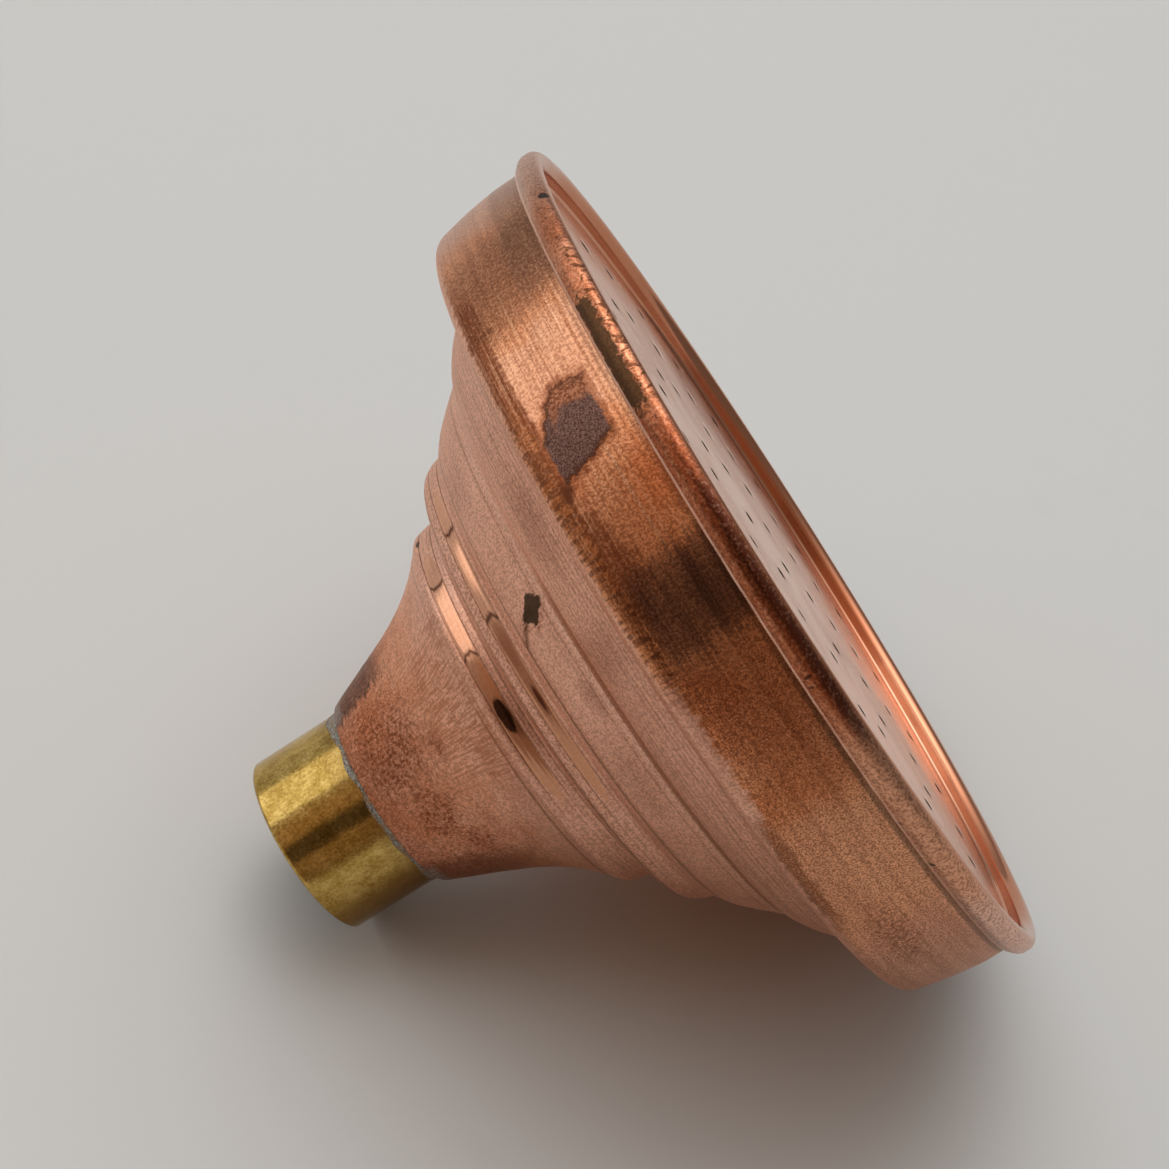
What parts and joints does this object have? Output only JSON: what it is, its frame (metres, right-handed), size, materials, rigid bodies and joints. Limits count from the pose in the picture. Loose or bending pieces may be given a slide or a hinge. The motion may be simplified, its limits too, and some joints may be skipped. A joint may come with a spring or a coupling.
{
  "type": "watering rose",
  "caption": "Copper watering rose: a spun, beaded copper funnel closed by a perforated copper face with a rolled rim, and a soldered brass socket for the spout.",
  "frame": {"origin": "on the axis, in the plane that the crest of the rolled rim rests on", "axes": "+Z along the axis, from the perforated face towards the open end of the socket; the part is round, so +X is free, and one ring of holes starts on it"},
  "size_m": [0.12, 0.12, 0.0758],
  "materials": {
    "body_copper": "matt spun copper with a brown patina",
    "face_copper": "polished copper, rolled edge darkened by handling",
    "socket_brass": "satin, tarnished ochre",
    "solder": "dull grey, grainy"
  },
  "bodies": {
    "root": {"spun_body": "body_copper", "face_plate": "face_copper", "brass_socket": "socket_brass", "neck_solder": "solder"}
  },
  "joints": []
}
